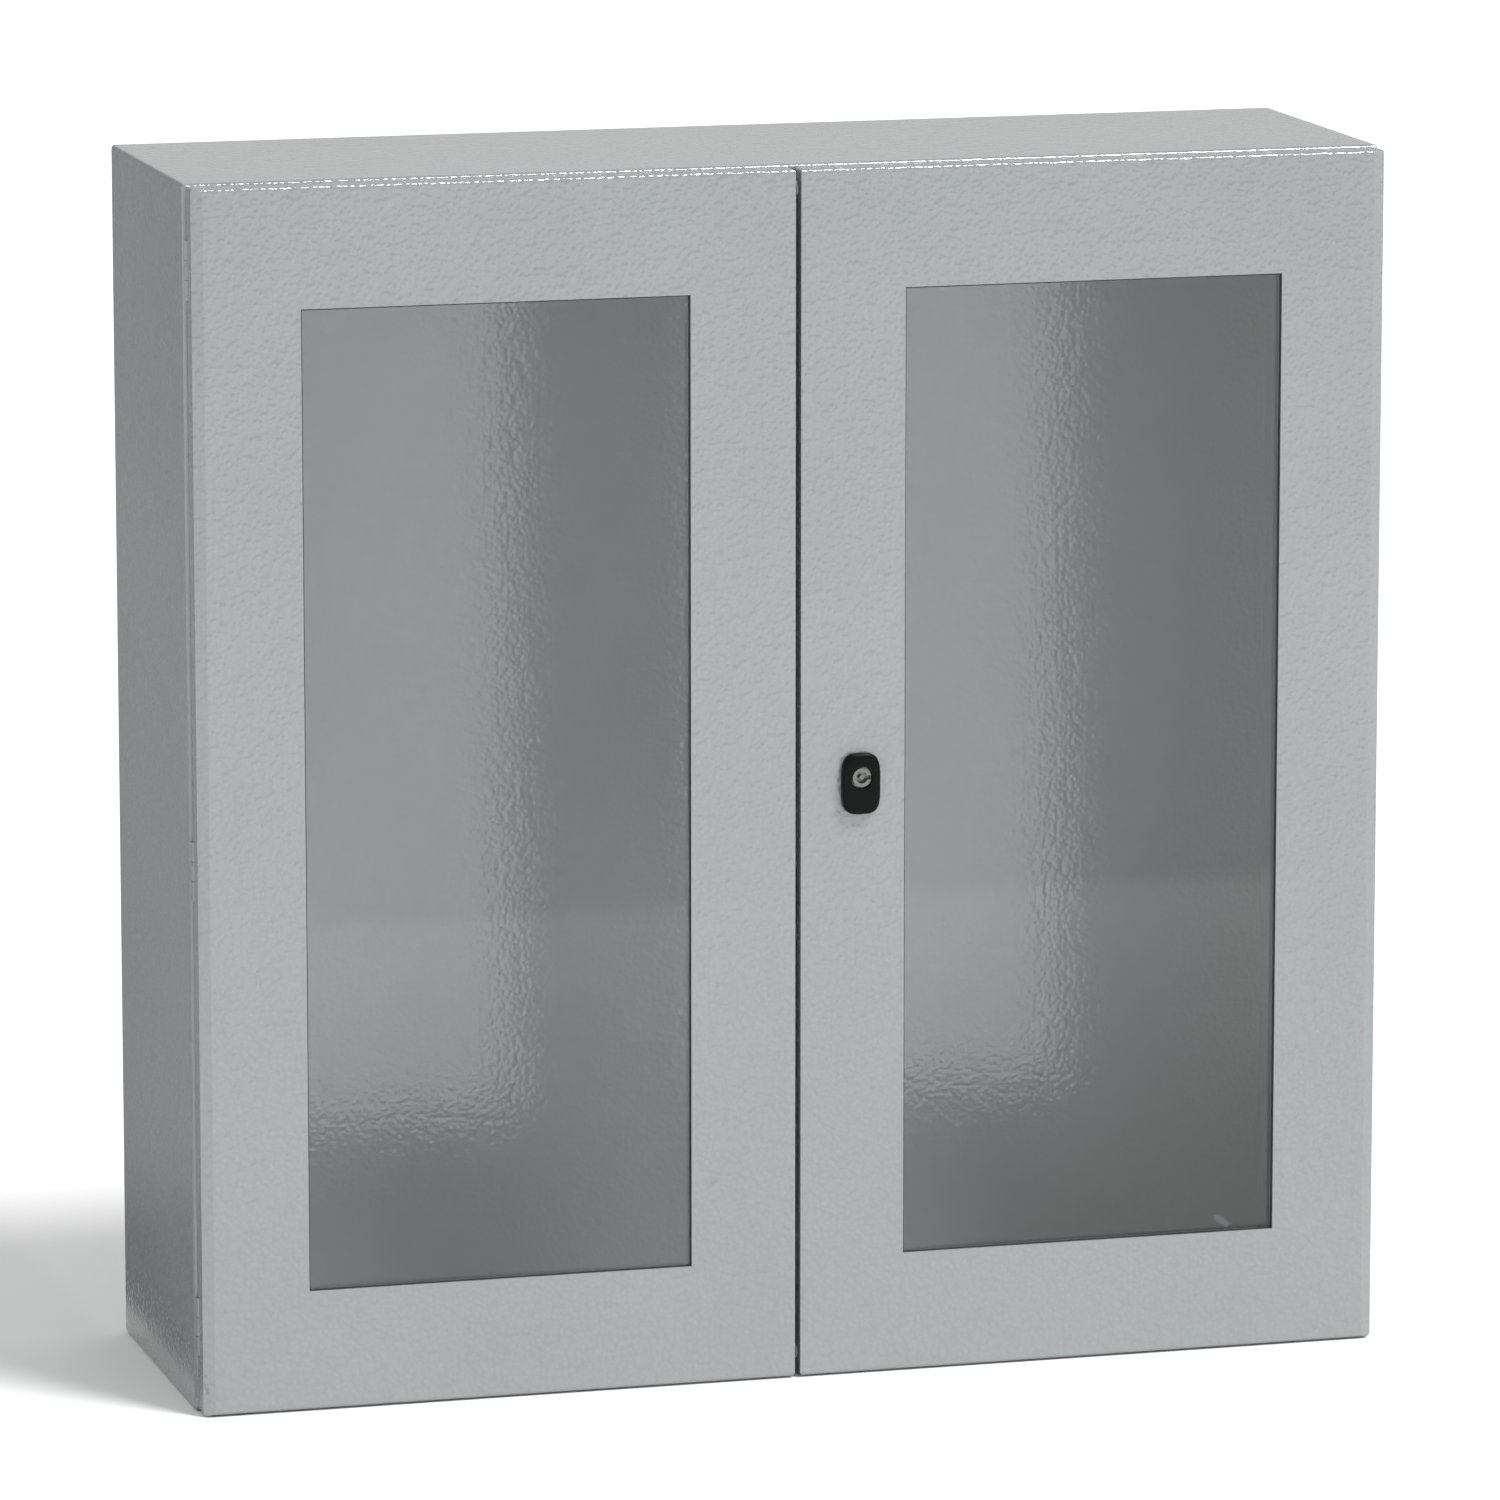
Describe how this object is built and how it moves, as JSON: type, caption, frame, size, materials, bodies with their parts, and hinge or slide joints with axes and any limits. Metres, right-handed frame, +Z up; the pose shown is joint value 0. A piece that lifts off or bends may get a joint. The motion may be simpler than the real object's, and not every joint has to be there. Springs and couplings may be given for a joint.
{
  "type": "wall-mounting enclosure",
  "caption": "Sheet-steel wall enclosure with two glazed hinged doors, a cam lock driving top and bottom rods, mounting studs and bottom gland plates.",
  "frame": {"origin": "centre of the whole object's footprint, on the bottom face", "axes": "+X to the right seen from the front, +Y from the doors to the wall, +Z up"},
  "size_m": [1, 0.3076, 1],
  "materials": {
    "painted_steel": "textured light grey powder coat, satin",
    "zinc_plated_steel": "zinc plated",
    "epdm_rubber": "matt black",
    "pu_foam": "foamed in place, matt",
    "safety_glass": "clear",
    "brass": "turned",
    "nickel_zinc_diecast": "nickel plated, satin",
    "black_plastic": "glass-filled polyamide, semi-gloss",
    "white_nylon": "natural moulding"
  },
  "bodies": {
    "enclosure": {"body_wrapper": "painted_steel", "rear_panel": "painted_steel", "centre_post": "painted_steel", "centre_post_screws": "zinc_plated_steel", "mounting_studs": "zinc_plated_steel", "body_earth_stud": "brass", "body_earth_nut": "zinc_plated_steel", "gland_gasket_left": "epdm_rubber", "gland_gasket_right": "epdm_rubber", "gland_plate_left": "zinc_plated_steel", "gland_plate_right": "zinc_plated_steel", "gland_plate_studs": "zinc_plated_steel", "gland_plate_nuts": "zinc_plated_steel", "hinge_body_leaves_left": "painted_steel", "hinge_body_leaves_right": "painted_steel", "hinge_pins_left": "zinc_plated_steel", "hinge_pins_right": "zinc_plated_steel"},
    "right_door": {"right_door_shell": "painted_steel", "right_glazing_seal": "epdm_rubber", "right_glass": "safety_glass", "right_glass_frame": "painted_steel", "right_frame_studs": "zinc_plated_steel", "right_frame_nuts": "zinc_plated_steel", "right_door_gasket": "pu_foam", "right_hinge_door_leaves": "painted_steel", "right_earth_stud": "brass", "right_earth_nut": "zinc_plated_steel", "right_rod_guides": "zinc_plated_steel", "meeting_edge_plugs": "white_nylon", "escutcheon": "black_plastic", "escutcheon_seal": "epdm_rubber", "lock_sleeve": "nickel_zinc_diecast", "lock_nut": "zinc_plated_steel"},
    "lock_rotor": {"lock_barrel": "nickel_zinc_diecast", "lock_cam": "zinc_plated_steel", "cam_screw": "zinc_plated_steel"},
    "right_upper_bar": {"right_upper_rod": "zinc_plated_steel"},
    "right_lower_bar": {"right_lower_rod": "zinc_plated_steel"},
    "left_door": {"left_door_shell": "painted_steel", "left_glazing_seal": "epdm_rubber", "left_glass": "safety_glass", "left_glass_frame": "painted_steel", "left_frame_studs": "zinc_plated_steel", "left_frame_nuts": "zinc_plated_steel", "left_door_gasket": "pu_foam", "left_hinge_door_leaves": "painted_steel", "left_earth_stud": "brass", "left_earth_nut": "zinc_plated_steel", "left_rod_guides": "zinc_plated_steel", "latch_bracket": "zinc_plated_steel", "latch_pivot": "zinc_plated_steel"},
    "latch_rotor": {"latch_disc": "zinc_plated_steel"},
    "left_upper_bar": {"left_upper_rod": "zinc_plated_steel", "latch_knob": "black_plastic"},
    "left_lower_bar": {"left_lower_rod": "zinc_plated_steel"}
  },
  "joints": [
    {"name": "right_door_swing", "type": "hinge", "parent": "enclosure", "child": "right_door", "pos_m": [0.4959, -0.12625, 0.5], "axis": [0, 0, 1], "range_deg": [0, 120]},
    {"name": "left_door_swing", "type": "hinge", "parent": "enclosure", "child": "left_door", "pos_m": [-0.4959, -0.12625, 0.5], "axis": [0, 0, -1], "range_deg": [0, 120]},
    {"name": "lock_turn", "type": "hinge", "parent": "right_door", "child": "lock_rotor", "pos_m": [0.052, -0.14625, 0.5005], "axis": [0, 1, 0], "range_deg": [0, 90]},
    {"name": "right_upper_slide", "type": "slide", "parent": "right_door", "child": "right_upper_bar", "axis": [0, 0, 1], "range_m": [0, 0.0215]},
    {"name": "right_lower_slide", "type": "slide", "parent": "right_door", "child": "right_lower_bar", "axis": [0, 0, -1], "range_m": [0, 0.0215]},
    {"name": "latch_turn", "type": "hinge", "parent": "left_door", "child": "latch_rotor", "pos_m": [-0.052, -0.14625, 0.5005], "axis": [0, -1, 0], "range_deg": [0, 90]},
    {"name": "left_upper_slide", "type": "slide", "parent": "left_door", "child": "left_upper_bar", "axis": [0, 0, 1], "range_m": [0, 0.0215]},
    {"name": "left_lower_slide", "type": "slide", "parent": "left_door", "child": "left_lower_bar", "axis": [0, 0, -1], "range_m": [0, 0.0215]}
  ],
  "couplings": [
    {"joint": "right_upper_slide", "follows": "lock_turn", "m_per_rad": 0.013505},
    {"joint": "right_lower_slide", "follows": "lock_turn", "m_per_rad": 0.013505},
    {"joint": "left_upper_slide", "follows": "latch_turn", "m_per_rad": 0.013505},
    {"joint": "left_lower_slide", "follows": "latch_turn", "m_per_rad": 0.013505}
  ]
}
